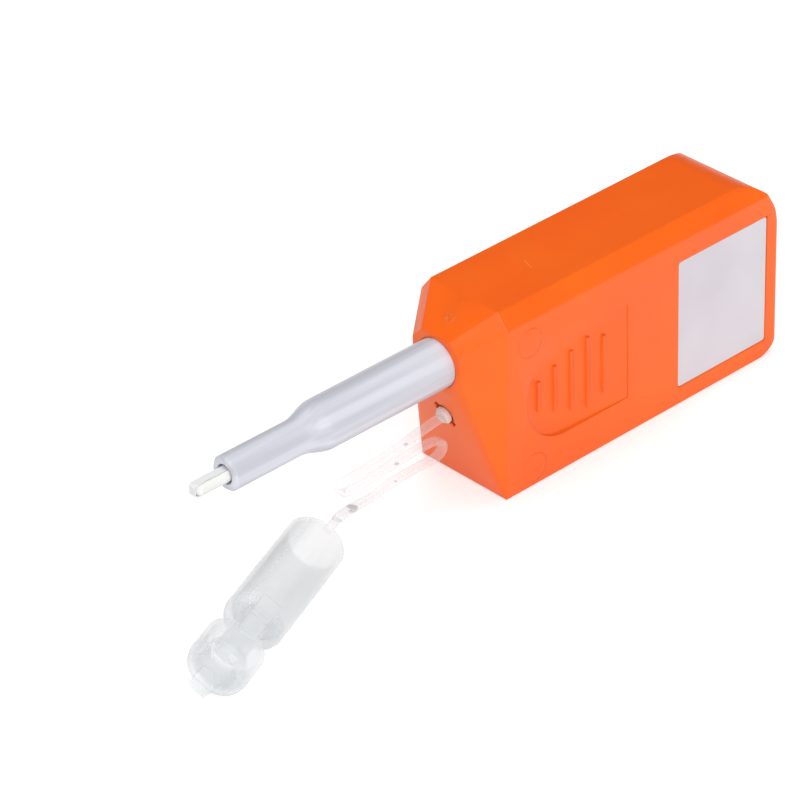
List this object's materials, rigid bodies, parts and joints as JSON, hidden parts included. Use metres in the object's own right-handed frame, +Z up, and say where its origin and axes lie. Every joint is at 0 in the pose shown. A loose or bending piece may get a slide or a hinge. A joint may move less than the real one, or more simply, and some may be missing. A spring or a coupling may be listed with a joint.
{
  "type": "fibre connector cleaning pen",
  "caption": "Push-to-clean pen for fibre connectors: flat plastic body with a sliding round nose, inner tape reels and a tethered clear guide cap with a flip lid.",
  "frame": {"origin": "middle of the housing's flat underside", "axes": "+X from the nose towards the rear of the pen, +Z up from the flat underside, +Y away from the label side"},
  "size_m": [0.1253, 0.0293, 0.0316],
  "materials": {
    "orange_plastic": "fine satin moulded",
    "grey_plastic": "smooth satin",
    "label_white": "printed film, bare",
    "clear_plastic": "clear, slightly milky",
    "strap_plastic": "translucent, flexible",
    "steel": "bright",
    "acetal_white": "natural acetal",
    "acetal_black": "moulded",
    "felt": "pressed felt",
    "tape_cloth": "fine woven microfibre tape"
  },
  "bodies": {
    "housing": {"housing_near": "orange_plastic", "housing_far": "orange_plastic", "label_plate": "label_white", "return_spring": "steel", "cam_pin": "steel", "click_spring": "steel", "drag_washer": "felt", "supply_tape_run": "tape_cloth", "return_tape_run": "tape_cloth", "tether_plug": "strap_plastic", "tether_strap": "strap_plastic", "guide_cap": "clear_plastic", "lid_hinge_web": "clear_plastic"},
    "nose": {"nose_sleeve": "grey_plastic", "slider": "acetal_white", "tip_spring": "steel"},
    "spindle": {"spindle": "acetal_white", "cleaning_tip": "acetal_white", "tip_tape": "tape_cloth"},
    "supply": {"supply_reel": "acetal_white", "supply_tape_roll": "tape_cloth"},
    "takeup": {"takeup_reel": "acetal_white", "used_tape_roll": "tape_cloth"},
    "pinion": {"drive_pinion": "acetal_black", "clutch_spring": "steel"},
    "lid": {"flip_lid": "clear_plastic"}
  },
  "joints": [
    {"name": "nose_slide", "type": "slide", "parent": "housing", "child": "nose", "axis": [1, 0, 0], "range_m": [0, 0.008], "stiffness_N_per_m": 300, "springref_m": -0.005, "deforming": ["return_spring", "supply_tape_run", "return_tape_run"]},
    {"name": "spindle_spin", "type": "hinge", "parent": "nose", "child": "spindle", "pos_m": [0, 0, 0.0225], "axis": [1, 0, 0], "range_deg": [0, 180]},
    {"name": "pinion_spin", "type": "hinge", "parent": "housing", "child": "pinion", "pos_m": [-0.007, 0, 0.0103], "axis": [0, 1, 0], "range_deg": [0, 63.7]},
    {"name": "takeup_spin", "type": "hinge", "parent": "housing", "child": "takeup", "pos_m": [-0.007, 0, 0.0103], "axis": [0, 1, 0], "range_deg": [0, 63.7]},
    {"name": "supply_spin", "type": "hinge", "parent": "housing", "child": "supply", "pos_m": [0.0175, 0, 0.0122], "axis": [0, 1, 0], "range_deg": [-34.1, 0]},
    {"name": "lid_hinge", "type": "hinge", "parent": "housing", "child": "lid", "pos_m": [-0.08159, -0.01507, 0.00906], "axis": [-0.3144, 0.7342, 0.6017], "range_deg": [0, 120], "deforming": ["lid_hinge_web"]}
  ],
  "couplings": [
    {"joint": "spindle_spin", "follows": "nose_slide", "rad_per_m": 392.7},
    {"joint": "pinion_spin", "follows": "nose_slide", "rad_per_m": 138.89},
    {"joint": "takeup_spin", "follows": "nose_slide", "rad_per_m": 138.89},
    {"joint": "supply_spin", "follows": "nose_slide", "rad_per_m": -74.289}
  ]
}
